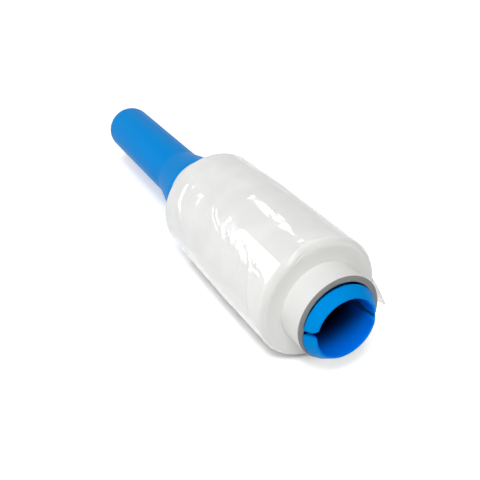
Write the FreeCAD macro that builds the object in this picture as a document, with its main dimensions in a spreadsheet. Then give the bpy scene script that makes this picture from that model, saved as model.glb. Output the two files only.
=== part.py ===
import FreeCAD, Part
import math
import os
import re

import Sketcher

# Hand roll of stretch film on a cardboard core, with a loose plastic handle through the core.
# Millimetres, +Z up. The origin is the middle of the flat spot that the roll lies on, and
# +X runs along the roll, from the handle's closed end towards its open tip.

doc = FreeCAD.newDocument("stretch_wrap_roll")

# Driving dimensions
sizes = {
    "core_radius": 22.0,        # outside of the cardboard tube
    "core_wall": 3.0,
    "core_neck": 15.0,          # bare tube on each side of the film
    "core_edge": 0.4,           # worn round on the tube's ends
    "film_width": 114.0,
    "film_radius": 32.6,        # at the two ends of the wound film
    "film_belly": 0.5,          # extra radius at mid width
    "film_shoulder": 4.0,       # round between the film's side and its end faces
    "film_flat": 0.6,           # how far the soft roll is pressed flat underneath
    "turn_pitch": 1.5,          # distance between the turns that show on an end face
    "turn_depth": 0.25,         # groove between two such turns
    "turn_notch": 0.3,          # half the groove's breadth
    "fold_height": 0.6,
    "fold_breadth": 4.0,        # half the breadth of a fold's root
    "fold_root": 1.0,           # how deep a fold's root lies in the film
    "fold_step": 4.5,           # distance between a fold's sections
    "film_sheet": 0.4,          # thickness of the loose corner
    "corner_reach": 10.5,       # loose corner past the film's front face
    "corner_drop": 6.0,         # loose corner's point below the roll's axis
    "corner_top": 6.0,          # degrees from +Y to the loose corner's upper edge
    "corner_low": -17.0,        # and to its lower edge
    "grip_step": 0.7,           # shank over the grip, on the radius
    "grip_length": 103.4,
    "grip_round": 8.0,          # round on the closed end
    "flare_length": 27.5,
    "flare_blend": 30.0,
    "collar_length": 4.1,
    "collar_round": 1.2,
    "collar_rim": 2.4,          # wall around the recess in the collar's front
    "collar_recess": 3.0,
    "shank_play": 2.1,          # core's bore over the shank, on the radius
    "seat_clearance": 0.4,      # what is left of it under the shank, which lies low in the bore
    "end_clearance": 0.4,       # between the core's ends and the collar or the lips
    "handle_wall": 2.0,
    "lip_catch": 0.9,           # lips over the core's bore, on the radius
    "lip_land": 0.8,
    "tip_reach": 5.6,           # lips and nose past the core
    "nose_taper": 3.5,          # from the lips in to the rim, on the radius
    "rim_wall": 1.1,
    "rim_round": 0.4,
    "slit_width": 3.0,
    "slit_depth": 36.0,
    "slit_corner": 2.1,
    "slit_lift": 0.8,           # middle of the slits over the handle's axis
}

sheet = doc.addObject("Spreadsheet::Sheet", "Sizes")
for row, (name, size) in enumerate(sizes.items(), start=1):
    sheet.set(f"A{row}", name)
    sheet.set(f"B{row}", str(size))
    sheet.setAlias(f"B{row}", name)
doc.recompute()


def bound(text):
    """The expression with each size named as the sheet's own cell."""
    return re.sub(r"\b([a-z]+(?:_[a-z]+)+)\b", r"Sizes.\1", text)


def value(text):
    """What an expression of sizes comes to, in millimetres."""
    return float(sheet.evalExpression(bound(text)))


# Below these, a length is nothing and two lengths are the same
no_length = 1e-9
same_length = 0.01

# Lengths that follow from the sizes, as expressions
core_length = "(film_width + 2 * core_neck)"
core_bore = "(core_radius - core_wall)"
film_middle_radius = "(film_radius + film_belly)"
axis_height = f"({film_middle_radius} - film_flat)"
shank_radius = f"({core_bore} - shank_play)"
handle_drop = "(shank_play - seat_clearance)"
grip_radius = f"({shank_radius} - grip_step)"
lip_radius = f"({core_bore} + lip_catch)"
rim_radius = f"({lip_radius} - nose_taper)"
collar_radius = "core_radius"
flare_end = "(grip_length + flare_length)"
collar_face = f"({flare_end} + collar_length)"
lip_back = f"({collar_face} + {core_length} + 2 * end_clearance)"
handle_length = f"({lip_back} + tip_reach)"
shank_bore = f"({shank_radius} - handle_wall)"
grip_bore = f"({grip_radius} - handle_wall)"
handle_start = f"(-{core_length} / 2 - end_clearance - {collar_face})"


def pin(sketch, kind, geo, point, text):
    """Holds one coordinate of a sketch point at an expression's value."""
    amount = value(text)
    if abs(amount) < no_length:
        axis = -2 if kind == "DistanceX" else -1
        sketch.addConstraint(Sketcher.Constraint("PointOnObject", geo, point, axis))
        return
    if amount > 0:
        index = sketch.addConstraint(Sketcher.Constraint(kind, -1, 1, geo, point, amount))
        sketch.setExpression(f"Constraints[{index}]", bound(text))
    else:
        index = sketch.addConstraint(Sketcher.Constraint(kind, geo, point, -1, 1, -amount))
        sketch.setExpression(f"Constraints[{index}]", bound(f"-({text})"))


def arc_between(first, last, radius, side):
    """The arc of a radius from first to last, bulging to the left (+1) or right (-1)."""
    span = last.sub(first)
    half = span.Length / 2
    across = FreeCAD.Vector(-span.y, span.x, 0).normalize()
    back = math.sqrt(max(radius * radius - half * half, 0.0))
    centre = first.add(span.multiply(0.5)).sub(across.multiply(side * back))
    ring = Part.Circle(centre, FreeCAD.Vector(0, 0, 1), radius)
    low, high = ring.parameter(first), ring.parameter(last)
    if side > 0:
        low, high = high, low
    if high < low:
        high += 2 * math.pi
    return Part.ArcOfCircle(ring, low, high)


def outline(body, name, corners, arcs=None):
    """A closed sketch on the body's XZ plane: corners as expressions, arcs as {side: (radius, way)}."""
    arcs = arcs or {}
    sketch = body.newObject("Sketcher::SketchObject", name)
    origin_plane = [part for part in body.Origin.OriginFeatures if part.Role == "XZ_Plane"][0]
    sketch.AttachmentSupport = [(origin_plane, "")]
    sketch.MapMode = "FlatFace"
    points = [FreeCAD.Vector(value(across), value(up), 0) for across, up in corners]
    starts = []
    ends = []
    for side, first in enumerate(points):
        last = points[(side + 1) % len(points)]
        if side in arcs:
            radius, way = arcs[side]
            curve = arc_between(first, last, value(radius), way)
            geo = sketch.addGeometry(curve)
            index = sketch.addConstraint(Sketcher.Constraint("Radius", geo, value(radius)))
            sketch.setExpression(f"Constraints[{index}]", bound(radius))
            starts.append((geo, 2 if way > 0 else 1))
            ends.append((geo, 1 if way > 0 else 2))
        else:
            geo = sketch.addGeometry(Part.LineSegment(first, last))
            starts.append((geo, 1))
            ends.append((geo, 2))
    for side in range(len(points)):
        follow = starts[(side + 1) % len(points)]
        sketch.addConstraint(Sketcher.Constraint("Coincident", *ends[side], *follow))
    for (across, up), (geo, point) in zip(corners, starts):
        pin(sketch, "DistanceX", geo, point, across)
        pin(sketch, "DistanceY", geo, point, up)
    return sketch


def turned(body, name, sketch):
    """The sketch revolved about the body's X axis."""
    solid = body.newObject("PartDesign::Revolution", name)
    solid.Profile = sketch
    solid.ReferenceAxis = (sketch, ["H_Axis"])
    solid.Angle = 360
    doc.recompute()
    return solid


def ring_edges(shape, station, radius):
    """Names of the circular edges at a distance along X and of a radius."""
    names = []
    for index, edge in enumerate(shape.Edges, start=1):
        curve = edge.Curve
        if not isinstance(curve, Part.Circle):
            continue
        if abs(curve.Center.x - station) < same_length and abs(curve.Radius - radius) < same_length:
            names.append(f"Edge{index}")
    return names


def rounded(body, name, base, rings, radius):
    """A fillet on the rings given as (station, radius) expressions."""
    names = []
    for station, ring in rings:
        found = ring_edges(base.Shape, value(station), value(ring))
        if not found:
            raise RuntimeError(f"{name}: no edge at {station}")
        names += found
    fillet = body.newObject("PartDesign::Fillet", name)
    fillet.Base = (base, names)
    fillet.Radius = value(radius)
    fillet.setExpression("Radius", bound(radius))
    doc.recompute()
    return fillet


def place(item, along, up):
    """Sets an object along X and up Z by expressions."""
    item.setExpression(".Placement.Base.x", bound(along))
    item.setExpression(".Placement.Base.z", bound(up))


# Cardboard core: a plain tube, longer than the film is wide
def make_core():
    body = doc.addObject("PartDesign::Body", "core")
    body.Label = "core"
    profile = outline(body, "core_profile", [
        ("0", core_bore),
        (core_length, core_bore),
        (core_length, "core_radius"),
        ("0", "core_radius"),
    ])
    tube = turned(body, "core_tube", profile)
    rings = [("0", "core_radius"), (core_length, "core_radius")]
    body.Tip = rounded(body, "core_ends", tube, rings, "core_edge")
    place(body, f"-{core_length} / 2", axis_height)
    return body


# Handle: one hollow moulding with a closed grip, a flared collar, a shank and two snap lips
def make_handle():
    body = doc.addObject("PartDesign::Body", "handle")
    body.Label = "handle"
    recess_radius = f"({collar_radius} - collar_rim)"
    recess_floor = f"({collar_face} - collar_recess)"
    inner_round = "(grip_round - handle_wall)"
    profile = outline(body, "handle_profile", [
        ("0", "0"),
        ("0", f"{grip_radius} - grip_round"),
        ("grip_round", grip_radius),
        ("grip_length", grip_radius),
        (flare_end, collar_radius),
        (collar_face, collar_radius),
        (collar_face, recess_radius),
        (recess_floor, recess_radius),
        (recess_floor, shank_radius),
        (lip_back, shank_radius),
        (lip_back, lip_radius),
        (f"{lip_back} + lip_land", lip_radius),
        (handle_length, rim_radius),
        (handle_length, f"{rim_radius} - rim_wall"),
        (lip_back, shank_bore),
        (collar_face, shank_bore),
        ("grip_length", grip_bore),
        (f"handle_wall + {inner_round}", grip_bore),
        ("handle_wall", f"{grip_bore} - {inner_round}"),
        ("handle_wall", "0"),
    ], {
        1: ("grip_round", 1),
        17: (inner_round, -1),
    })
    shell = turned(body, "handle_shell", profile)
    flare_start = [("grip_length", grip_radius)]
    blend = rounded(body, "flare_foot", shell, flare_start, "flare_blend")
    edges = [(flare_end, collar_radius), (collar_face, collar_radius)]
    collar = rounded(body, "collar_edges", blend, edges, "collar_round")
    tip_edges = [
        (lip_back, lip_radius),
        (f"{lip_back} + lip_land", lip_radius),
        (handle_length, rim_radius),
        (handle_length, f"{rim_radius} - rim_wall"),
    ]
    tip = rounded(body, "tip_edges", collar, tip_edges, "rim_round")

    # Two slits in one level plane let the lips spring in; their mouths are rounded out
    mouth = "(slit_width / 2 + slit_corner)"
    past_rim = f"{handle_length} + slit_corner"
    slit_end = f"{handle_length} - slit_depth"
    slit = outline(body, "slit_profile", [
        (slit_end, "slit_lift - slit_width / 2"),
        (f"{handle_length} - slit_corner", "slit_lift - slit_width / 2"),
        (handle_length, f"slit_lift - {mouth}"),
        (past_rim, f"slit_lift - {mouth}"),
        (past_rim, f"slit_lift + {mouth}"),
        (handle_length, f"slit_lift + {mouth}"),
        (f"{handle_length} - slit_corner", "slit_lift + slit_width / 2"),
        (slit_end, "slit_lift + slit_width / 2"),
    ], {
        1: ("slit_corner", 1),
        5: ("slit_corner", 1),
    })
    before = tip.Shape.Volume
    pocket = body.newObject("PartDesign::Pocket", "slits")
    pocket.Profile = slit
    pocket.Type = 0
    pocket.Midplane = True
    pocket.setExpression("Length", bound(f"3 * {lip_radius}"))
    doc.recompute()
    if pocket.Shape.Volume >= before:
        raise RuntimeError("the slits cut nothing")
    body.Tip = pocket
    place(body, handle_start, f"{axis_height} - {handle_drop}")
    return body


# Film: the wound turns, turned as one solid with its turns showing on the end faces
def make_film_turns():
    body = doc.addObject("PartDesign::Body", "film_turns")
    face_height = value("film_radius - film_shoulder - core_radius")
    turns = max(int(face_height / value("turn_pitch")), 1)
    corners = [("0", "core_radius")]
    for turn in range(turns):
        groove = f"core_radius + {turn + 0.5} * turn_pitch"
        corners.append(("0", f"{groove} - turn_notch"))
        corners.append(("turn_depth", groove))
        corners.append(("0", f"{groove} + turn_notch"))
    corners.append(("0", "film_radius - film_shoulder"))
    corners.append(("film_shoulder", "film_radius"))
    mirrored = [(f"film_width - ({across})", up) for across, up in reversed(corners)]
    rear_shoulder = len(corners) - 2
    front_shoulder = len(corners) + 1
    middle = [("film_width / 2", film_middle_radius)]
    profile = outline(body, "film_profile", corners + middle + mirrored, {
        rear_shoulder: ("film_shoulder", 1),
        front_shoulder: ("film_shoulder", 1),
    })
    body.Tip = turned(body, "wound_film", profile)
    place(body, "-film_width / 2", axis_height)
    return body


def film_surface(station, angle, lift):
    """A point on the wound film at a distance along X and an angle from +Y towards +Z."""
    half = value("film_width / 2 - film_shoulder")
    share = min(abs(station) / half, 1.0)
    radius = value("film_radius") + value("film_belly") * (1 - share) + lift
    turn = math.radians(angle)
    height = value(axis_height)
    return FreeCAD.Vector(station, radius * math.cos(turn), height + radius * math.sin(turn))


def fold_solid(route, height, breadth):
    """A low ridge over the film along a route of (share of half width, angle) points.

    It rises and widens as a half sine from one end to the other, and its root lies inside the film.
    """
    end_share = 0.04
    narrow_share = 0.4
    half = value("film_width / 2")
    radius = value("film_radius")
    track = [FreeCAD.Vector(share * half, math.radians(angle) * radius, 0) for share, angle in route]
    path = Part.BSplineCurve()
    path.interpolate(track)
    steps = max(int(path.length() / value("fold_step")), 4)
    rows = []
    for step in range(steps + 1):
        at = step / steps
        where = path.parameterAtDistance(path.length() * at)
        spot = path.value(where)
        way = path.tangent(where)[0]
        swell = math.sin(math.pi * (end_share + (1 - 2 * end_share) * at))
        reach = breadth * (narrow_share + (1 - narrow_share) * swell)
        left = spot.add(FreeCAD.Vector(-way.y, way.x, 0).multiply(reach))
        right = spot.sub(FreeCAD.Vector(-way.y, way.x, 0).multiply(reach))
        rows.append((
            film_surface(left.x, math.degrees(left.y / radius), -value("fold_root")),
            film_surface(spot.x, math.degrees(spot.y / radius), height * swell),
            film_surface(right.x, math.degrees(right.y / radius), -value("fold_root")),
        ))
    faces = [triangle(*rows[0]), triangle(*rows[-1])]
    for near, far in zip(rows, rows[1:]):
        for side in range(3):
            following = (side + 1) % 3
            faces.append(triangle(near[side], near[following], far[side]))
            faces.append(triangle(near[following], far[following], far[side]))
    return closed_solid(faces)


def triangle(first, second, third):
    return Part.Face(Part.makePolygon([first, second, third, first]))


def closed_solid(faces):
    """A solid from flat faces that close up, with its faces outwards."""
    solid = Part.makeSolid(Part.makeShell(faces))
    if solid.Volume < 0:
        solid.reverse()
    return solid


# Folds where the last turns lie slack: along the roll as a share of half its width, then degrees
fold_routes = {
    "long_fold": [(-0.24, 135), (-0.06, 141), (0.14, 146), (0.44, 146)],
    "rear_fold": [(-0.72, 135), (-0.67, 149), (-0.62, 160), (-0.50, 166)],
    "top_fold": [(0.23, 103), (0.47, 106), (0.77, 107)],
    "front_fold": [(0.71, 155), (0.80, 169), (0.81, 186)],
    "patch_fold": [(0.28, 131), (0.42, 140), (0.55, 153)],
    "back_fold": [(-0.55, 62), (-0.10, 54), (0.50, 63)],
    "low_fold": [(-0.60, 212), (-0.20, 218), (0.30, 214)],
    "loose_end": [(-0.86, -13), (0.0, -14), (0.86, -13)],
}


def make_folds():
    folds = []
    for name, route in fold_routes.items():
        fold = doc.addObject("Part::Feature", name)
        fold.Shape = fold_solid(route, value("fold_height"), value("fold_breadth"))
        folds.append(fold)
    return folds


# Loose corner of the last turn, sticking out past the front face on the far side
def make_loose_corner():
    face = value("film_width / 2")
    shoulder = value("film_shoulder")
    thick = value("film_sheet")
    radius = value("film_radius")
    height = value(axis_height)
    top, low = value("corner_top"), value("corner_low")
    upper = film_surface(face - shoulder, top, -shoulder / 2)
    lower = film_surface(face - shoulder, low, -thick)
    reach = math.sqrt(radius ** 2 - value("corner_drop") ** 2) - thick
    point = FreeCAD.Vector(face + value("corner_reach"), reach, height - value("corner_drop"))
    root = film_surface(face - 2 * shoulder, (top + low) / 2, -shoulder / 2)
    outer = [root, upper, point, lower]
    push = FreeCAD.Vector(0, -thick, 0)
    inner = [corner.add(push) for corner in outer]
    faces = [
        triangle(outer[0], outer[1], outer[2]),
        triangle(outer[0], outer[2], outer[3]),
        triangle(inner[0], inner[1], inner[2]),
        triangle(inner[0], inner[2], inner[3]),
    ]
    for side in range(4):
        following = (side + 1) % 4
        faces.append(triangle(outer[side], outer[following], inner[following]))
        faces.append(triangle(outer[side], inner[following], inner[side]))
    corner = doc.addObject("Part::Feature", "loose_corner")
    corner.Shape = closed_solid(faces)
    return corner


# Film roll: turns, folds and loose corner are one film, pressed flat where the roll lies
def make_film_roll():
    whole = doc.addObject("Part::MultiFuse", "whole_film")
    whole.Shapes = [make_film_turns()] + make_folds() + [make_loose_corner()]
    under = doc.addObject("Part::Box", "under_roll")
    for side, text in {
        "Length": "2 * film_width",
        "Width": "4 * film_radius",
        "Height": "film_radius",
    }.items():
        under.setExpression(side, bound(text))
    under.setExpression(".Placement.Base.x", bound("-film_width"))
    under.setExpression(".Placement.Base.y", bound("-2 * film_radius"))
    under.setExpression(".Placement.Base.z", bound("-film_radius"))
    roll = doc.addObject("Part::Cut", "film_roll")
    roll.Label = "film_roll"
    roll.Base = whole
    roll.Tool = under
    return roll


pieces = [make_core(), make_handle(), make_film_roll()]
doc.recompute()

for item in doc.Objects:
    if any(word in item.State for word in ("Invalid", "Error")):
        raise RuntimeError(f"{item.Label} failed: {item.State}")
for piece in pieces:
    if piece.Shape.isNull() or not piece.Shape.isValid():
        raise RuntimeError(f"{piece.Label} has no valid shape")
    if len(piece.Shape.Solids) != 1:
        raise RuntimeError(f"{piece.Label} is {len(piece.Shape.Solids)} solids")

os.makedirs("parts", exist_ok=True)
for piece in pieces:
    piece.Shape.exportStep(f"parts/{piece.Label}.step")
    box = piece.Shape.BoundBox
    print(f"{piece.Label}: {piece.Shape.Volume / 1000:.1f} cm3,"
          f" x {box.XMin:.1f} to {box.XMax:.1f},"
          f" y {box.YMin:.1f} to {box.YMax:.1f},"
          f" z {box.ZMin:.1f} to {box.ZMax:.1f}")
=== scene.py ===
import bmesh
import bpy
import numpy as np
from mathutils import Matrix, Vector


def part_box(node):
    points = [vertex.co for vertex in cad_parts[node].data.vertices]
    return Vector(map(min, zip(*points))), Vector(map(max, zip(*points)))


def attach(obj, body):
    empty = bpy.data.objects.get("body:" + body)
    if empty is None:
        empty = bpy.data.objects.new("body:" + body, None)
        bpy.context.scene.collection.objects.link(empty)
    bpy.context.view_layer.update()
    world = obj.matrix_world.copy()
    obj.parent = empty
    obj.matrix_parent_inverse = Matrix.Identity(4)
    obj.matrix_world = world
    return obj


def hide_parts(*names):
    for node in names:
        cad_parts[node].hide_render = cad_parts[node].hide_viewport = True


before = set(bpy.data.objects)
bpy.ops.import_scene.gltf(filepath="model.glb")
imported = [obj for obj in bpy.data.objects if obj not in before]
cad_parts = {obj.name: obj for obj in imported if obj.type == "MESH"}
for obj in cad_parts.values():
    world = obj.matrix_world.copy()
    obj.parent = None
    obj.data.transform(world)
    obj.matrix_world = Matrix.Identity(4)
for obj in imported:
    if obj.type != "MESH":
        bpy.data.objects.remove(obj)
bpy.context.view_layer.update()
print("frame loaded:", ", ".join(sorted(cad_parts)))

mm = 0.001
coreLow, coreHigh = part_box("core")
handleLow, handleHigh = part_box("handle")
axisHeight = (coreLow.z + coreHigh.z) / 2  # the roll turns about this line
coreRadius = (coreHigh.y - coreLow.y) / 2
collarRadius = (handleHigh.y - handleLow.y) / 2
handleHeight = (handleHigh.z + handleLow.z) / 2  # the handle lies a little low in the core


# mesh helpers

# a mesh from an array of points and an array of four-cornered faces
def putMesh(name, points, faces):
    mesh = bpy.data.meshes.new(name)
    mesh.from_pydata(points.reshape(-1, 3).tolist(), [], faces.tolist())
    mesh.update()
    mesh.shade_smooth()
    piece = bpy.data.objects.new(name, mesh)
    bpy.context.scene.collection.objects.link(piece)
    return piece


# faces of a grid of rows and columns; either way round it may close on itself
def gridFaces(rows, columns, closeRows=False, closeColumns=False):
    number = np.arange(rows * columns).reshape(rows, columns)
    if closeRows:
        number = np.vstack([number, number[:1]])
    if closeColumns:
        number = np.hstack([number, number[:, :1]])
    corners = [number[:-1, :-1], number[:-1, 1:], number[1:, 1:], number[1:, :-1]]
    return np.stack(corners, axis=-1).reshape(-1, 4)


# welds what lies in one place and turns every face outwards
def weld(piece, distance=0.001 * mm):
    work = bmesh.new()
    work.from_mesh(piece.data)
    bmesh.ops.remove_doubles(work, verts=work.verts, dist=distance)
    bmesh.ops.recalc_face_normals(work, faces=work.faces)
    work.to_mesh(piece.data)
    work.free()
    piece.data.shade_smooth()


# a profile of straight runs: each corner (along, radius, rounding) is cut off by an arc that
# touches both its runs, and long runs are divided so that no step is longer than the longest
def roundedProfile(corners, longest, arcSteps=6):
    spots = np.array([corner[:2] for corner in corners], float)
    path = [spots[0]]
    for before, here, after, corner in zip(spots, spots[1:], spots[2:], corners[1:]):
        rounding = corner[2]
        back = (before - here) / np.linalg.norm(before - here)
        ahead = (after - here) / np.linalg.norm(after - here)
        if rounding <= 0:
            path.append(here)
            continue
        half = np.arccos(np.clip(back @ ahead, -1, 1)) / 2
        bisector = (back + ahead) / np.linalg.norm(back + ahead)
        centre = here + bisector * rounding / np.sin(half)
        start = here + back * rounding / np.tan(half) - centre
        finish = here + ahead * rounding / np.tan(half) - centre
        sweep = np.pi - 2 * half
        share = np.linspace(0, 1, arcSteps + 1)[:, None]
        arc = np.sin((1 - share) * sweep) * start + np.sin(share * sweep) * finish
        path.extend(centre + arc / np.sin(sweep))
    path.append(spots[-1])
    path = np.array(path)
    runs = np.linalg.norm(np.diff(path, axis=0), axis=1)
    pieces = [np.linspace(a, b, int(np.ceil(run / longest)) + 1)[1:]
              for a, b, run in zip(path, path[1:], runs)]
    return np.vstack([path[:1]] + pieces)


# shader helpers

# one socket of a material, so that shader maths reads as plain expressions
class Wire:
    def __init__(self, tree, socket=None):
        self.tree = tree
        self.socket = socket

    # any node: its settings go in first, then the values or links of its sockets
    def node(self, kind, settings=None, sockets=None, output=0):
        made = self.tree.nodes.new("ShaderNode" + kind)
        for setting, value in (settings or {}).items():
            setattr(made, setting, value)
        for name, value in (sockets or {}).items():
            if isinstance(value, Wire):
                self.tree.links.new(value.socket, made.inputs[name])
            else:
                made.inputs[name].default_value = value
        return Wire(self.tree, made.outputs[output] if len(made.outputs) else None)

    def maths(self, operation, *values):
        return self.node("Math", {"operation": operation}, dict(enumerate(values)))

    def __add__(self, other):
        return self.maths("ADD", self, other)

    def __sub__(self, other):
        return self.maths("SUBTRACT", self, other)

    def __rsub__(self, other):
        return self.maths("SUBTRACT", other, self)

    def __mul__(self, other):
        return self.maths("MULTIPLY", self, other)

    def __truediv__(self, other):
        return self.maths("DIVIDE", self, other)

    def __pow__(self, other):
        return self.maths("POWER", self, other)

    __radd__ = __add__
    __rmul__ = __mul__


def noise(vector, scale, detail=3.0, roughness=0.5):
    return vector.node("TexNoise", {}, {
        "Vector": vector, "Scale": scale, "Detail": detail, "Roughness": roughness})


def between(value, low, high):  # 0 below low, 1 above high, eased in the middle
    return value.node("MapRange", {"interpolation_type": "SMOOTHSTEP"}, {
        "Value": value, "From Min": low, "From Max": high})


def blendColour(share, first, second):
    return share.node("Mix", {"data_type": "RGBA"}, {0: share, 6: first, 7: second}, output=2)


def joinAxes(across, up, paintedDepthShade):
    return across.node("CombineXYZ", {}, {0: across, 1: up, 2: paintedDepthShade})


# where a point of a turned piece lies: along the axis, its distance from the axis, and the
# two shares that say which way round it is
def turnedPlace(wire, height):
    spot = wire.node("TexCoord", output="Object")
    along = spot.node("SeparateXYZ", {}, {0: spot}, output=0)
    sideways = spot.node("SeparateXYZ", {}, {0: spot}, output=1)
    upwards = spot.node("SeparateXYZ", {}, {0: spot}, output=2) - height
    radius = (sideways * sideways + upwards * upwards) ** 0.5
    return spot, along, radius, sideways / radius, upwards / radius


def newMaterial(name):
    material = bpy.data.materials.new(name)
    material.use_nodes = True
    material.node_tree.nodes.clear()
    return material, Wire(material.node_tree)


# one Principled shader, an optional bump height in metres, and the output
def finishMaterial(wire, sockets, height=None, strength=1.0):
    if height is not None:
        sockets["Normal"] = wire.node("Bump", {}, {
            "Height": height, "Distance": 1.0, "Strength": strength})
    shader = wire.node("BsdfPrincipled", {}, sockets)
    wire.node("OutputMaterial", {}, {"Surface": shader})


# film

film = {
    "halfWidth": 57 * mm, "endRadius": 32.6 * mm, "belly": 0.5 * mm,
    "shoulder": 4 * mm, "shoulderRows": 26, "flat": 0.2 * mm,
    "coreBlend": 1.2 * mm, "faceRows": 16, "sunk": 0.06 * mm, "tuck": 0.3 * mm,
    "fineFrom": 92, "fineTo": 192, "fineColumns": 236, "columns": 344, "rowStep": 0.54 * mm,
    "turnPitch": 1.5 * mm, "turnRelief": 0.03 * mm, "turnFade": 2 * mm,
    "endStep": 0.12 * mm, "endAngle": -13, "endSharpness": 60,
    "slackHeight": 0.014 * mm, "slackWaves": 12,
}

# each fold runs through points (millimetres along the roll, degrees from +Y towards +Z);
# on the right of its route it falls by its height over the slope, on the left over the back
filmFolds = [
    {"route": [(-42, 132), (-41.6, 137), (-41.2, 142), (-40.6, 147), (-38.9, 153)],
     "height": 0.24, "slope": 1.9, "back": 9.0},
    {"route": [(-40.4, 147), (-38.9, 153), (-35.5, 160), (-30.5, 167)],
     "height": 0.4, "slope": 2.0, "back": 6.0},
    {"route": [(-37, 128), (-36, 131.5), (-35.5, 135)], "height": 0.16, "slope": 2.0, "back": 2.0},
    {"route": [(-30, 131), (-27, 130), (-25, 132), (-24.6, 135)],
     "height": 0.4, "slope": 4.6, "back": 4.0},
    {"route": [(-13, 129), (-10.5, 132), (-8, 137), (-3.5, 142), (4.5, 146), (14, 148), (23, 148),
               (29, 147)],
     "height": 0.11, "slope": 1.2, "back": 4.0},
    {"route": [(-9.5, 127), (-7, 133), (-3, 138), (3, 141.5), (8, 142)],
     "height": 0.09, "slope": 1.1, "back": 2.0},
    {"route": [(6, 141), (8.5, 144), (12, 143.5)], "height": 0.2, "slope": 2.2, "back": 2.0},
    {"route": [(14, 141), (19, 143.5), (26, 144)], "height": 0.3, "slope": 3.0, "back": 3.0},
    {"route": [(3.5, 126), (6.5, 129), (6, 133)], "height": 0.16, "slope": 3.8, "back": 3.0},
    {"route": [(1, 99), (3, 102), (3, 105)], "height": 0.12, "slope": 3.0, "back": 3.0},
    {"route": [(24, 141.5), (30, 144), (33, 149), (33.5, 156)],
     "height": 0.42, "slope": 3.4, "back": 3.0},
    {"route": [(27, 136), (33, 138), (38, 138)], "height": 0.2, "slope": 2.6, "back": 2.6},
    {"route": [(40, 142), (46, 141), (50, 144)], "height": 0.26, "slope": 2.6, "back": 2.6},
    {"route": [(35, 143), (38, 147), (40, 152), (42.3, 158), (44, 166), (45.6, 174), (47, 184),
               (46.6, 192)],
     "height": 0.26, "slope": 1.2, "back": 1.2},
    {"route": [(22, 100), (28, 103), (33, 101)], "height": 0.1, "slope": 2.4, "back": 2.4},
    {"route": [(38, 101), (43, 103.5), (49, 102)], "height": 0.12, "slope": 2.4, "back": 2.4},
    {"route": [(54.4, 88), (54.2, 95), (53.8, 102), (52.2, 107)],
     "height": 0.35, "slope": 1.8, "back": 1.8},
    {"route": [(53.8, 108), (54.2, 113), (54.8, 118), (55.6, 124)],
     "height": 0.34, "slope": 1.0, "back": 0.9},
    {"route": [(56, 109), (56.6, 114), (57.2, 119), (57.8, 124)],
     "height": 0.34, "slope": 0.9, "back": 0.9},
    {"route": [(58.4, 112), (59, 117), (59.4, 122)], "height": 0.3, "slope": 0.9, "back": 0.9},
    {"route": [(-28, 62), (-4, 55), (30, 63)], "height": 0.5, "slope": 3.0, "back": 3.0},
    {"route": [(-30, 212), (-8, 219), (18, 213)], "height": 0.5, "slope": 3.0, "back": 3.0},
    {"route": [(-42, 292), (-18, 300), (14, 296)], "height": 0.4, "slope": 2.4, "back": 3.0},
    {"route": [(22, 20), (36, 28), (49, 26)], "height": 0.35, "slope": 2.4, "back": 3.0},
]


# the wound film's profile from one end face to the other, as rows of place, outward
# direction and distance along the film: a belly that is a parabola, then on each side a
# quarter round and an end face that is a quarter ellipse down to the core
def filmRows(s):
    half = s["halfWidth"] - s["shoulder"]
    edge = s["endRadius"] - s["shoulder"]
    across = np.linspace(-half, half, int(2 * half / s["rowStep"]) + 1)
    share = across / half
    belly = np.stack([across, s["endRadius"] + s["belly"] * (1 - share ** 2)], 1)
    bellyOut = np.stack([2 * s["belly"] * share / half, np.ones_like(share)], 1)
    bend = np.radians(np.linspace(90, 0, s["shoulderRows"]))[1:]
    roundOut = np.stack([np.cos(bend), np.sin(bend)], 1)
    roundPlace = np.array([half, edge]) + s["shoulder"] * roundOut
    roundAlong = half + s["shoulder"] * (np.pi / 2 - bend)
    hollow = np.radians(np.linspace(0, 90, s["faceRows"]))[1:]
    depth = edge - coreRadius + s["sunk"]
    hollowOut = np.stack([np.cos(hollow) * depth, np.sin(hollow) * s["coreBlend"]], 1)
    hollowOut /= np.linalg.norm(hollowOut, axis=1)[:, None]
    middle = np.array([s["halfWidth"] + s["coreBlend"], edge])
    hollowPlace = middle - np.stack([np.cos(hollow) * s["coreBlend"], np.sin(hollow) * depth], 1)
    hollowAlong = half + s["shoulder"] * np.pi / 2 + depth * np.sin(hollow)
    inside = np.array([[s["halfWidth"] - s["tuck"], coreRadius - s["tuck"]]])
    insideOut = np.array([[0.0, -1.0]])
    insideAlong = hollowAlong[-1:] + s["tuck"]
    place = np.vstack([roundPlace, hollowPlace, inside])
    out = np.vstack([roundOut, hollowOut, insideOut])
    along = np.concatenate([roundAlong, hollowAlong, insideAlong])
    mirror = np.array([-1.0, 1.0])
    places = np.vstack([(place * mirror)[::-1], belly, place])
    outs = np.vstack([(out * mirror)[::-1], bellyOut, out])
    outs /= np.linalg.norm(outs, axis=1)[:, None]
    return places, outs, np.concatenate([-along[::-1], across, along])


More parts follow.
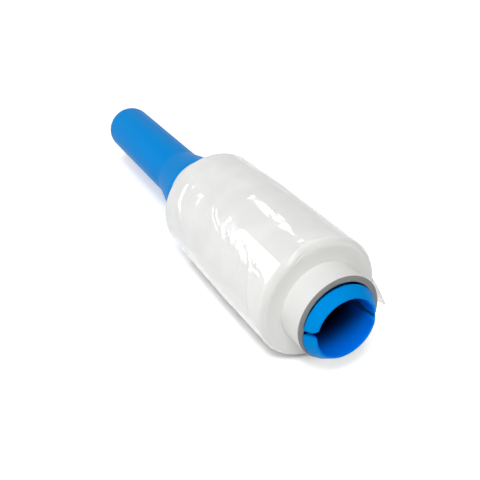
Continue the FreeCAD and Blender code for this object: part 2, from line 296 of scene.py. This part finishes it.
# height of one fold over the unrolled film: half a cosine wave down its slope and another
# down its back, by the distance to its route, dying out at both ends
def foldHeight(along, turn, fold, radius):
    corners = np.array(fold["route"], float)
    middleTurn = np.radians(corners[:, 1].mean())
    corners = corners * [mm, np.pi / 180 * radius]
    spaced = np.arange(len(corners))
    fine = np.linspace(0, len(corners) - 1, 8 * (len(corners) - 1) + 1)
    route = np.stack([np.interp(fine, spaced, corners[:, axis]) for axis in (0, 1)], 1)
    for again in range(3):
        route[1:-1] = (route[:-2] + 2 * route[1:-1] + route[2:]) / 4
    around = ((turn - middleTurn + np.pi) % (2 * np.pi) - np.pi + middleTurn) * radius
    nearest = np.full(along.shape, 1.0)
    side = np.zeros(along.shape)
    reach = np.zeros(along.shape)
    steps = len(route) - 1
    for index, (start, end) in enumerate(zip(route, route[1:])):
        run = end - start
        share = ((along - start[0]) * run[0] + (around - start[1]) * run[1]) / (run @ run)
        share = np.clip(share, 0, 1)
        gapAlong = along - start[0] - share * run[0]
        gapAround = around - start[1] - share * run[1]
        gap = np.hypot(gapAlong, gapAround)
        closer = gap < nearest
        nearest = np.where(closer, gap, nearest)
        side = np.where(closer, np.sign(run[1] * gapAlong - run[0] * gapAround), side)
        reach = np.where(closer, (index + share) / steps, reach)
    slope, back = fold["slope"] * mm, fold["back"] * mm
    past = nearest * side + slope / 2
    away = np.clip(np.where(past > 0, past / slope, -past / back), 0, 1)
    swell = np.sin(np.pi * np.clip(reach, 0.02, 0.98)) ** 0.4
    return fold["height"] * mm * 0.5 * (1 + np.cos(np.pi * away)) * swell


# slack over the whole film: a sum of long sine waves, each with a whole number of waves round
def slackHeight(along, turn, s):
    chance = np.random.default_rng(11)
    total = np.zeros_like(along)
    for wave in range(s["slackWaves"]):
        perMetre = chance.uniform(-1, 1) * (40 + 30 * wave)
        rounds = chance.integers(1, 3 + wave)
        phase = chance.uniform(0, 2 * np.pi)
        size = s["slackHeight"] / (1 + 0.35 * wave)
        total += size * np.sin(perMetre * along + rounds * turn + phase)
    return total


# radius = belly + slack + folds + a spiral step at the loose end; the end faces stand in and
# out turn by turn; what would go below the floor is pressed flat
def makeFilmWrap(s):
    places, outs, alongRow = filmRows(s)
    fine = np.linspace(s["fineFrom"], s["fineTo"], s["fineColumns"], endpoint=False)
    plain = np.linspace(s["fineTo"], s["fineFrom"] + 360, s["columns"] - s["fineColumns"],
                        endpoint=False)
    turns = np.radians(np.concatenate([fine, plain]))
    rows, columns = len(places), s["columns"]
    turn = turns[None, :].repeat(rows, 0)
    along = alongRow[:, None].repeat(columns, 1)
    half = s["halfWidth"] - s["shoulder"]
    faceStart = half + s["shoulder"] * np.pi / 2
    onTurns = np.clip((np.abs(along) - half) / (faceStart - half), 0, 1)
    lift = slackHeight(along, turn, s) * (1 - onTurns)
    for fold in filmFolds:
        lift += foldHeight(along, turn, fold, s["endRadius"])
    sinceEnd = ((turn - np.radians(s["endAngle"])) / (2 * np.pi)) % 1
    lift -= s["endStep"] * np.minimum(sinceEnd, (1 - sinceEnd) * s["endSharpness"]) * (1 - onTurns)
    depth = np.abs(along) - faceStart
    spiral = 2 * np.pi * depth / s["turnPitch"] + turn * np.sign(along)
    ripple = 0.6 * np.sin(spiral) + 0.4 * np.sin(3 * spiral + 1.0)
    edgeOfTurns = np.clip(depth / s["turnFade"] + 1, 0, 1)
    lift += s["turnRelief"] * ripple * edgeOfTurns
    lift *= (outs[:, 1] > -0.5)[:, None]
    x = places[:, 0:1] + outs[:, 0:1] * lift
    radius = places[:, 1:2] + outs[:, 1:2] * lift
    y = radius * np.cos(turn)
    z = axisHeight + radius * np.sin(turn)
    z = 0.5 * (z + np.sqrt(z ** 2 + s["flat"] ** 2))  # pressed flat where it lies
    points = np.stack([x + 0 * y, y, z], axis=-1)
    faces = gridFaces(rows, columns, closeRows=True, closeColumns=True)
    piece = putMesh("film_wrap", points, faces)
    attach(piece, "roll")
    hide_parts("film_roll")
    return piece


looseCorner = {
    "root": 51 * mm, "top": 6, "low": -17, "thick": 0.12 * mm,
    "tip": (67.3 * mm, 31.4 * mm, -6 * mm), "bow": 0.7 * mm, "rows": 24, "columns": 16,
}


# the loose corner of the last turn: straight lines from a stretch of the film's shoulder to
# one tip, bowed outwards by a sine both ways
def makeLooseCorner(s):
    out = np.linspace(0, 1, s["rows"])[:, None]
    across = np.linspace(0, 1, s["columns"])[None, :]
    angle = np.radians(s["low"] + (s["top"] - s["low"]) * across)
    radius = film["endRadius"] + 0.1 * mm
    start = np.stack([np.full_like(angle, s["root"]), radius * np.cos(angle),
                      axisHeight + radius * np.sin(angle)], axis=-1)
    tip = np.array(s["tip"]) + np.array([0, 0, axisHeight])
    narrow = 0.015 + 0.985 * (1 - out) ** 0.85
    middle = start[:, s["columns"] // 2][:, None]
    points = (1 - out[..., None]) * middle + out[..., None] * tip
    points = points + (start - middle) * narrow[..., None]
    bow = s["bow"] * np.sin(np.pi * out) * (0.4 + 0.6 * np.sin(np.pi * across))
    points[..., 1] += bow
    piece = putMesh("film_corner", points, gridFaces(s["rows"], s["columns"]))
    wall = piece.modifiers.new("thickness", "SOLIDIFY")
    wall.thickness = s["thick"]
    wall.offset = 0
    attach(piece, "roll")
    return piece


def filmMaterial():
    material, wire = newMaterial("milky_film")
    along, radius, sideways, upwards = turnedPlace(wire, axisHeight)[1:]
    aroundRoll = joinAxes(along * 60, sideways * 1.6, upwards * 1.6)
    cloudy = between(noise(aroundRoll, 1.0, 3, 0.5), 0.35, 0.68)
    bands = noise(joinAxes(along * 420, sideways * 0.5, upwards * 0.5), 1.0, 3, 0.6)
    half = film["halfWidth"] - film["shoulder"]
    onEnd = between(along.maths("ABSOLUTE", along), half + 1.0 * mm, half + 2.6 * mm)
    onFace = between(along.maths("ABSOLUTE", along), half + 3.0 * mm, half + 3.9 * mm)
    turns = noise(joinAxes(radius * 2600, sideways * 0.7, upwards * 0.7), 1.0, 4, 0.65)
    milk = blendColour(cloudy, (0.77, 0.775, 0.76, 1), (0.82, 0.82, 0.81, 1))
    milk = blendColour(bands * 0.15, milk, (0.88, 0.88, 0.87, 1))
    # painted shade: the end faces are painted a darker grey than the film's side; the noise in it
    # is the turns' own rings
    endsWithPaintedShade = blendColour(turns, (0.695, 0.695, 0.675, 1), (0.755, 0.755, 0.735, 1))
    colour = blendColour(onEnd, milk, endsWithPaintedShade)
    crinkles = noise(joinAxes(along * 190, sideways * 4.5, upwards * 4.5), 1.0, 3, 0.55)
    rough = 0.06 + 0.03 * cloudy + onFace * (0.26 + 0.1 * turns)
    height = turns * 0.00003 * onFace + crinkles * 0.00005 * (1 - onEnd)
    finishMaterial(wire, {
        "Base Color": colour, "Roughness": rough, "IOR": 1.5, "Subsurface Weight": 0.2,
        "Subsurface Radius": (1.0, 1.0, 1.0), "Subsurface Scale": 0.003,
    }, height, 0.5)
    return material


# one clear layer of the same film, for the loose corner
def singleFilmMaterial():
    material, wire = newMaterial("single_clear_film")
    spot = wire.node("TexCoord", output="Object")
    streaks = noise(spot, 350.0, 3, 0.6)
    colour = blendColour(streaks, (0.80, 0.80, 0.79, 1), (0.88, 0.88, 0.87, 1))
    veil = 0.28 + 0.3 * streaks
    finishMaterial(wire, {
        "Base Color": colour, "Roughness": 0.15 + 0.1 * streaks, "IOR": 1.5, "Alpha": veil,
    }, streaks * 0.0001, 0.4)
    return material


# core

core = {
    "halfLength": coreHigh.x, "wall": 3 * mm, "edge": 0.4 * mm,
    "columns": 288, "rowStep": 1.6 * mm, "cutRows": 26,
    "plyPitch": 62 * mm, "plyStep": 0.05 * mm, "seamWidth": 0.5 * mm,
    "plies": 6, "plyRelief": 0.05 * mm,
}


# a tube's profile turned about the axis: outside, cut end, bore, cut end; the outer paper is
# a strip wound at a slant, so radius drops by one paper's step along a helix, and each cut
# end stands in and out ply by ply
def makeCoreTube(s):
    bore = coreRadius - s["wall"]
    reach = s["halfLength"]
    profile = roundedProfile([
        (0, coreRadius, 0), (reach, coreRadius, s["edge"]), (reach, bore, s["edge"] / 2),
        (0, bore, 0)], s["rowStep"])
    fine = np.linspace(coreRadius - s["edge"], bore + s["edge"] / 2, s["cutRows"])
    before = profile[: np.argmax(profile[:, 1] < coreRadius - 0.9 * s["edge"])]
    after = profile[len(profile) - np.argmax(profile[::-1, 1] > bore + 0.45 * s["edge"]):]
    cut = np.stack([np.full_like(fine, reach), fine], 1)
    half = np.vstack([before, cut, after])
    whole = np.vstack([half, (half * [-1, 1])[::-1][1:-1]])
    turn = np.linspace(0, 2 * np.pi, s["columns"], endpoint=False)[None, :]
    x = whole[:, 0:1] + 0 * turn
    radius = whole[:, 1:2] + 0 * turn
    outside = np.clip((radius - coreRadius + s["edge"]) / s["edge"], 0, 1)
    phase = (x / s["plyPitch"] + turn / (2 * np.pi)) % 1
    slope = np.minimum(phase, (1 - phase) * s["plyPitch"] / s["seamWidth"])
    radius = radius - outside * s["plyStep"] * (1 - slope)
    onCut = (np.abs(np.abs(x) - reach) < 0.01 * mm)
    chance = np.random.default_rng(5)
    wander = 0.3 * np.sin(3 * turn + 0.5) + 0.2 * np.sin(7 * turn + 2)
    depth = (radius - bore) / s["wall"] * s["plies"] * 2 * np.pi
    relief = s["plyRelief"] * (np.sin(depth + wander) - 1 + 0.2 * chance.normal(size=x.shape))
    x = x + np.sign(x) * onCut * relief
    points = np.stack([x, radius * np.cos(turn), axisHeight + radius * np.sin(turn)], axis=-1)
    faces = gridFaces(len(whole), s["columns"], closeRows=True, closeColumns=True)
    piece = putMesh("core_tube", points, faces)
    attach(piece, "roll")
    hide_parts("core")
    return piece


def coreMaterial():
    material, wire = newMaterial("white_core_board")
    spot, along, radius, sideways, upwards = turnedPlace(wire, axisHeight)
    inCut = between(along.maths("ABSOLUTE", along), core["halfLength"] - 0.45 * mm,
                    core["halfLength"] - 0.2 * mm)
    inBore = 1 - between(radius, coreRadius - core["wall"] + 0.1 * mm,
                         coreRadius - core["wall"] + 0.3 * mm)
    fibres = noise(spot, 900.0, 4, 0.65)
    plies = noise(joinAxes(radius * 1900, sideways * 2.0, upwards * 2.0), 1.0, 3, 0.6)
    paper = blendColour(fibres, (0.74, 0.74, 0.725, 1), (0.79, 0.79, 0.775, 1))
    board = blendColour(plies, (0.20, 0.20, 0.195, 1), (0.36, 0.36, 0.345, 1))
    board = blendColour(fibres * 0.5, board, (0.30, 0.29, 0.28, 1))
    liner = blendColour(fibres, (0.30, 0.28, 0.25, 1), (0.40, 0.38, 0.34, 1))
    colour = blendColour(inBore, paper, liner)
    colour = blendColour(inCut, colour, board)
    rough = 0.5 + 0.1 * fibres + 0.3 * inCut.maths("MAXIMUM", inCut, inBore)
    height = fibres * 0.00002 + plies * inCut * 0.00015
    finishMaterial(wire, {
        "Base Color": colour, "Roughness": rough, "IOR": 1.45, "Specular IOR Level": 0.25,
    }, height, 0.5)
    return material


# handle

handle = {
    "closedEnd": handleLow.x, "tip": handleHigh.x,
    "grip": 16.2 * mm, "shank": 16.9 * mm, "wall": 2 * mm, "gripLength": 103.4 * mm,
    "endRound": 8 * mm, "flareLength": 27.5 * mm, "flareBlend": 30 * mm,
    "collarFace": -72.4 * mm, "collarRound": 1.2 * mm, "recess": 3 * mm,
    "collarRim": 2.4 * mm, "lip": 19.9 * mm, "lipBack": 72.4 * mm, "lipLand": 0.8 * mm,
    "rim": 16.4 * mm, "rimWall": 1.1 * mm, "edge": 0.4 * mm,
    "slitStart": 42 * mm, "slitWidth": 3 * mm, "slitCorner": 2.1 * mm, "slitLift": 0.8 * mm,
    "columns": 96, "gapColumns": 3, "rowStep": 3.2 * mm, "wallSteps": 3,
}


# half the slit's width at a place along the handle: even, then rounded out to the mouth by
# a quarter circle
def slitHalf(x, s):
    into = np.clip(x - (s["tip"] - s["slitCorner"]), 0, s["slitCorner"])
    return s["slitWidth"] / 2 + s["slitCorner"] - np.sqrt(s["slitCorner"] ** 2 - into ** 2)


# angles of one row: two tongues with a slit on each side; both slits lie in one level plane
# a little over the axis, so an edge's angle is arcsin(its height over the axis / radius)
def tongueAngles(x, radius, s):
    reach = np.maximum(radius, s["slitWidth"])
    above = np.arcsin(np.clip((slitHalf(x, s) + s["slitLift"]) / reach, 0, 0.9))[:, None]
    below = np.arcsin(np.clip((slitHalf(x, s) - s["slitLift"]) / reach, 0, 0.9))[:, None]
    tongue = np.linspace(0, 1, s["columns"])[None, :]
    open = np.linspace(0, 1, s["gapColumns"] + 1)[None, 1:-1]
    upper = above + tongue * (np.pi - 2 * above)
    left = np.pi - above + open * (above + below)
    lower = np.pi + below + tongue * (np.pi - 2 * below)
    right = 2 * np.pi - below + open * (above + below)
    return np.hstack([upper, left, lower, right])


def makeHandle(s):
    start, tip, bore = s["closedEnd"], s["tip"], s["shank"] - s["wall"]
    gripEnd = start + s["gripLength"]
    flareEnd = gripEnd + s["flareLength"]
    inRound = s["endRound"] - s["wall"]
    recessFloor = s["collarFace"] - s["recess"]
    recessRadius = collarRadius - s["collarRim"]
    outside = roundedProfile([
        (start, 0, 0), (start, s["grip"], s["endRound"]), (gripEnd, s["grip"], s["flareBlend"]),
        (flareEnd, collarRadius, s["collarRound"]),
        (s["collarFace"], collarRadius, s["collarRound"]),
        (s["collarFace"], recessRadius, s["edge"] / 2), (recessFloor, recessRadius, s["edge"]),
        (recessFloor, s["shank"], s["edge"]), (s["slitStart"], s["shank"], 0)],
        s["rowStep"], 10)
    middleWall = s["rim"] - s["rimWall"] / 2
    outerTongue = roundedProfile([
        (s["slitStart"], s["shank"], 0), (s["lipBack"], s["shank"], s["edge"]),
        (s["lipBack"], s["lip"], s["edge"]), (s["lipBack"] + s["lipLand"], s["lip"], s["edge"] / 2),
        (tip, s["rim"], s["edge"]), (tip, middleWall, 0)], 0.8 * mm, 5)
    innerTongue = roundedProfile([
        (tip, middleWall, 0), (tip, s["rim"] - s["rimWall"], s["edge"]),
        (s["lipBack"], bore, 3 * mm), (s["slitStart"], bore, 0)], 0.8 * mm, 5)
    inner = roundedProfile([
        (s["slitStart"], bore, 0), (s["collarFace"], bore, 3 * mm),
        (gripEnd, s["grip"] - s["wall"], 3 * mm),
        (start + s["wall"], s["grip"] - s["wall"], inRound), (start + s["wall"], 0, 0)],
        s["rowStep"], 8)
    rows = max(len(outerTongue), len(innerTongue))
    outerTongue = evenRows(outerTongue, rows)
    innerTongue = evenRows(innerTongue, rows)

    parts = []  # grids of points, welded into one skin at the end
    ringStep = s["columns"] + s["gapColumns"] - 1
    for profile in (outside, inner):
        parts.append((turnedGrid(profile, s), True))
    for profile in (outerTongue, innerTongue):
        grid = turnedGrid(profile, s)
        for first in (0, ringStep):
            parts.append((grid[:, first:first + s["columns"]], False))
    outerGrid, innerGrid = turnedGrid(outerTongue, s), turnedGrid(innerTongue[::-1], s)
    share = np.linspace(0, 1, s["wallSteps"] + 1)[None, :, None]
    for column in (0, s["columns"] - 1, ringStep, ringStep + s["columns"] - 1):
        wall = outerGrid[:, column, None] * (1 - share) + innerGrid[:, column, None] * share
        parts.append((wall, False))
    for first in (s["columns"] - 1, ringStep + s["columns"] - 1):
        pick = np.arange(first, first + s["gapColumns"] + 1) % (2 * ringStep)
        floor = outerGrid[0, pick][:, None] * (1 - share) + innerGrid[0, pick][:, None] * share
        parts.append((floor, False))

    points, faces, count = [], [], 0
    for grid, closed in parts:
        rowsHere, columnsHere = grid.shape[:2]
        points.append(grid.reshape(-1, 3))
        faces.append(gridFaces(rowsHere, columnsHere, closeColumns=closed) + count)
        count += rowsHere * columnsHere
    piece = putMesh("handle_moulding", np.vstack(points), np.vstack(faces))
    weld(piece)
    soft = piece.modifiers.new("soft edges", "BEVEL")
    soft.width = 0.3 * mm
    soft.segments = 2
    soft.limit_method = "ANGLE"
    soft.angle_limit = np.radians(50)
    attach(piece, "handle")
    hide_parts("handle")
    return piece


# the same path with another number of rows, evenly spaced along it
def evenRows(path, rows):
    run = np.concatenate([[0], np.cumsum(np.linalg.norm(np.diff(path, axis=0), axis=1))])
    even = np.linspace(0, run[-1], rows)
    return np.stack([np.interp(even, run, path[:, 0]), np.interp(even, run, path[:, 1])], 1)


# rows of a profile turned about the handle's axis
def turnedGrid(profile, s):
    angle = tongueAngles(profile[:, 0], profile[:, 1], s)
    radius = profile[:, 1:2]
    return np.stack([profile[:, 0:1] + 0 * angle, radius * np.cos(angle),
                     handleHeight + radius * np.sin(angle)], axis=-1)


def handleMaterial():
    material, wire = newMaterial("blue_moulded_plastic")
    spot, along, radius, sideways, upwards = turnedPlace(wire, handleHeight)
    grain = noise(spot, 1400.0, 2, 0.5)
    flow = noise(joinAxes(along * 12, sideways * 1.5, upwards * 1.5), 1.0, 3, 0.5)
    colour = blendColour(flow, (0.0, 0.238, 0.66, 1), (0.0, 0.262, 0.72, 1))
    # painted shade: inside the hollow the blue is painted more saturated, for light bouncing in the
    # blue tube, and painted near black away from the open tip, where little light gets in
    inHollow = 1 - between(radius, handle["rim"] - handle["rimWall"] + 0.2 * mm,
                           handle["rim"] - 0.3 * mm)
    inHollow = inHollow * between(along, handle["closedEnd"] + 8 * mm,
                                  handle["closedEnd"] + 12 * mm)
    # painted shade: from the tip inwards the colour runs from the painted saturated blue to near
    # black
    paintedDepthShade = 1 - between(along, 54 * mm, 80 * mm)
    hollow = blendColour(paintedDepthShade, (0.0, 0.18, 0.85, 1), (0.0, 0.0, 0.01, 1))
    colour = blendColour(inHollow, colour, hollow)
    seam = 1 - between(sideways.maths("ABSOLUTE", sideways - 0.08), 0.004, 0.016)
    rough = 0.3 + 0.1 * flow + 0.05 * grain
    height = grain * 0.00002 + seam * 0.00005
    finishMaterial(wire, {
        "Base Color": colour, "Roughness": rough, "IOR": 1.5,
        "Specular IOR Level": 0.02, "Specular Tint": (0.1, 0.5, 1.0, 1.0),
    }, height, 0.5)
    return material


# studio

studio = {
    "aim": (0.0, 0.0, 0.0325),
    "boxFoot": (-0.7, -0.709, 0.095), "boxTop": (-0.743, -0.418, 0.524),
    "boxDistance": 9.0, "boxWidth": 16, "boxPower": 450.0,
    "spotDirection": (-0.728, 0.193, 0.658), "spotSize": (2.1, 0.94), "spotPower": 48.0,
    "spotAcross": (0.08, -0.94, 0.33),
    "broadDirection": (0.57, -0.245, 0.71), "broadSize": (4.2, 4.8), "broadPower": 250.0,
    "broadAcross": (0.0, -0.945, -0.327),
    "topPlace": (1.1, -0.9, 2.3), "topSize": 0.8, "topPower": 42.0,
    "leftPlace": (-0.1, -1.3, 0.75), "leftSize": 1.0, "leftPower": 3.5,
    "frontPlace": (1.5, -0.2, 0.7), "frontSize": 0.9, "frontPower": 1.5,
    "worldLight": 0.33, "floorSize": 6.0, "floorGlow": 0.42, "farGlow": 0.6,
    "contactReach": 12 * mm,
}


# an area lamp that looks at the roll; its width runs along the given direction
def putLamp(name, place, size, power, across=(0, 0, 1)):
    lamp = bpy.data.lights.new(name, "AREA")
    lamp.energy = power
    lamp.shape = "RECTANGLE"
    lamp.size, lamp.size_y = size
    thing = bpy.data.objects.new(name, lamp)
    bpy.context.scene.collection.objects.link(thing)
    back = (Vector(place) - Vector(studio["aim"])).normalized()
    side = Vector(across)
    side = (side - back * side.dot(back)).normalized()
    up = back.cross(side)
    turned = Matrix((side, up, back)).transposed().to_4x4()
    thing.matrix_world = Matrix.Translation(place) @ turned
    return thing


# three softboxes far off make the highlights and light nothing else: two to the rear, where
# the rear edge of the tall one runs from one direction, seen from the roll, to another, and a
# broad one in front for the folds on the film's shoulder
def makeLamps(s):
    foot, top = Vector(s["boxFoot"]).normalized(), Vector(s["boxTop"]).normalized()
    edge = (top - foot).normalized()
    outward = foot.cross(top).normalized() * -1
    angle = np.radians(s["boxWidth"] / 2)
    middle = (foot + top).normalized() * np.cos(angle) + outward * np.sin(angle)
    place = Vector(s["aim"]) + middle * s["boxDistance"]
    size = (s["boxDistance"] * (top - foot).length, 2 * s["boxDistance"] * np.tan(angle))
    tall = putLamp("tall_softbox", place, size, s["boxPower"], edge)
    place = Vector(s["aim"]) + Vector(s["spotDirection"]) * s["boxDistance"]
    small = putLamp("small_softbox", place, s["spotSize"], s["spotPower"], s["spotAcross"])
    small.data.shape = "ELLIPSE"
    place = Vector(s["aim"]) + Vector(s["broadDirection"]) * s["boxDistance"]
    broad = putLamp("broad_softbox", place, s["broadSize"], s["broadPower"], s["broadAcross"])
    for lamp in (tall, small, broad):
        lamp.visible_diffuse = False
    for side in ("top", "left", "front"):
        size = s[side + "Size"]
        soft = putLamp(side + "_panel", s[side + "Place"], (size, size), s[side + "Power"])
        soft.visible_glossy = False


# 1 for what the camera sees, straight or in a gloss, and 0 for what only lights
def seenRay(wire):
    straight = wire.node("LightPath", output="Is Camera Ray")
    inGloss = wire.node("LightPath", output="Is Glossy Ray")
    return straight.maths("MAXIMUM", straight, inGloss)


# a floor that lights as plain white board; the camera sees a little glow on top, which is cut where
# something stands close over the floor, a painted contact shadow, and grows far off, so that it
# reads as white with a tight shadow and has no horizon
def makeFloor(s):
    half = s["floorSize"] / 2
    points = np.array([(-half, -half, 0), (half, -half, 0), (half, half, 0), (-half, half, 0)])
    floor = putMesh("studio_floor", points, np.array([[0, 1, 2, 3]]))
    material, wire = newMaterial("white_floor")
    seen = seenRay(wire)
    board = wire.node("BsdfDiffuse", {}, {"Color": (0.88, 0.88, 0.88, 1)})
    openness = wire.node("AmbientOcclusion", {"samples": 16}, {"Distance": s["contactReach"]},
                         output=1)
    along, aside = turnedPlace(wire, 0.0)[1:3]
    distance = (aside * aside + along * along) ** 0.5
    # painted shadow: the glow is cut by ambient occlusion close to the roll and handle
    glowWithPaintedShadow = (between(openness, 0.2, 0.65) * s["floorGlow"]
                + between(distance, 0.6, 1.6) * s["farGlow"])
    glow = wire.node("Emission", {}, {"Color": (1, 1, 1, 1), "Strength": seen * glowWithPaintedShadow})
    both = wire.node("AddShader", {}, {0: board, 1: glow})
    wire.node("OutputMaterial", {}, {"Surface": both})
    floor.data.materials.append(material)


def makeWorld(s):
    world = bpy.data.worlds.new("white_studio")
    bpy.context.scene.world = world
    world.use_nodes = True
    world.node_tree.nodes.clear()
    wire = Wire(world.node_tree)
    seen = seenRay(wire)
    light = s["worldLight"] + seen * (1 - s["worldLight"])
    back = wire.node("Background", {}, {"Color": (1, 1, 1, 1), "Strength": light})
    wire.node("OutputWorld", {}, {"Surface": back})


camera = {
    "place": (0.2637, -0.1565, 0.2168), "forward": (-0.7731, 0.3994, -0.4927),
    "focalPixels": 663.4, "middlePixel": (226.6, 227.64), "picturePixels": 480, "sensor": 36.0,
}


def makeCamera(s):
    data = bpy.data.cameras.new("photo_camera")
    data.sensor_width = s["sensor"]
    data.lens = s["focalPixels"] / s["picturePixels"] * s["sensor"]
    centre = s["picturePixels"] / 2
    data.shift_x = (centre - s["middlePixel"][0]) / s["picturePixels"]
    data.shift_y = (s["middlePixel"][1] - centre) / s["picturePixels"]
    data.clip_start = 0.01
    thing = bpy.data.objects.new("photo_camera", data)
    bpy.context.scene.collection.objects.link(thing)
    turned = Vector(s["forward"]).to_track_quat("-Z", "Y").to_matrix().to_4x4()
    thing.matrix_world = Matrix.Translation(s["place"]) @ turned
    bpy.context.scene.camera = thing


makeCamera(camera)
makeWorld(studio)
makeFloor(studio)
makeLamps(studio)
print("studio ready")

makeFilmWrap(film).data.materials.append(filmMaterial())
makeLooseCorner(looseCorner).data.materials.append(singleFilmMaterial())
print("film ready")

makeCoreTube(core).data.materials.append(coreMaterial())
print("core ready")

makeHandle(handle).data.materials.append(handleMaterial())
print("handle ready")

bpy.context.scene.view_settings.view_transform = "Standard"
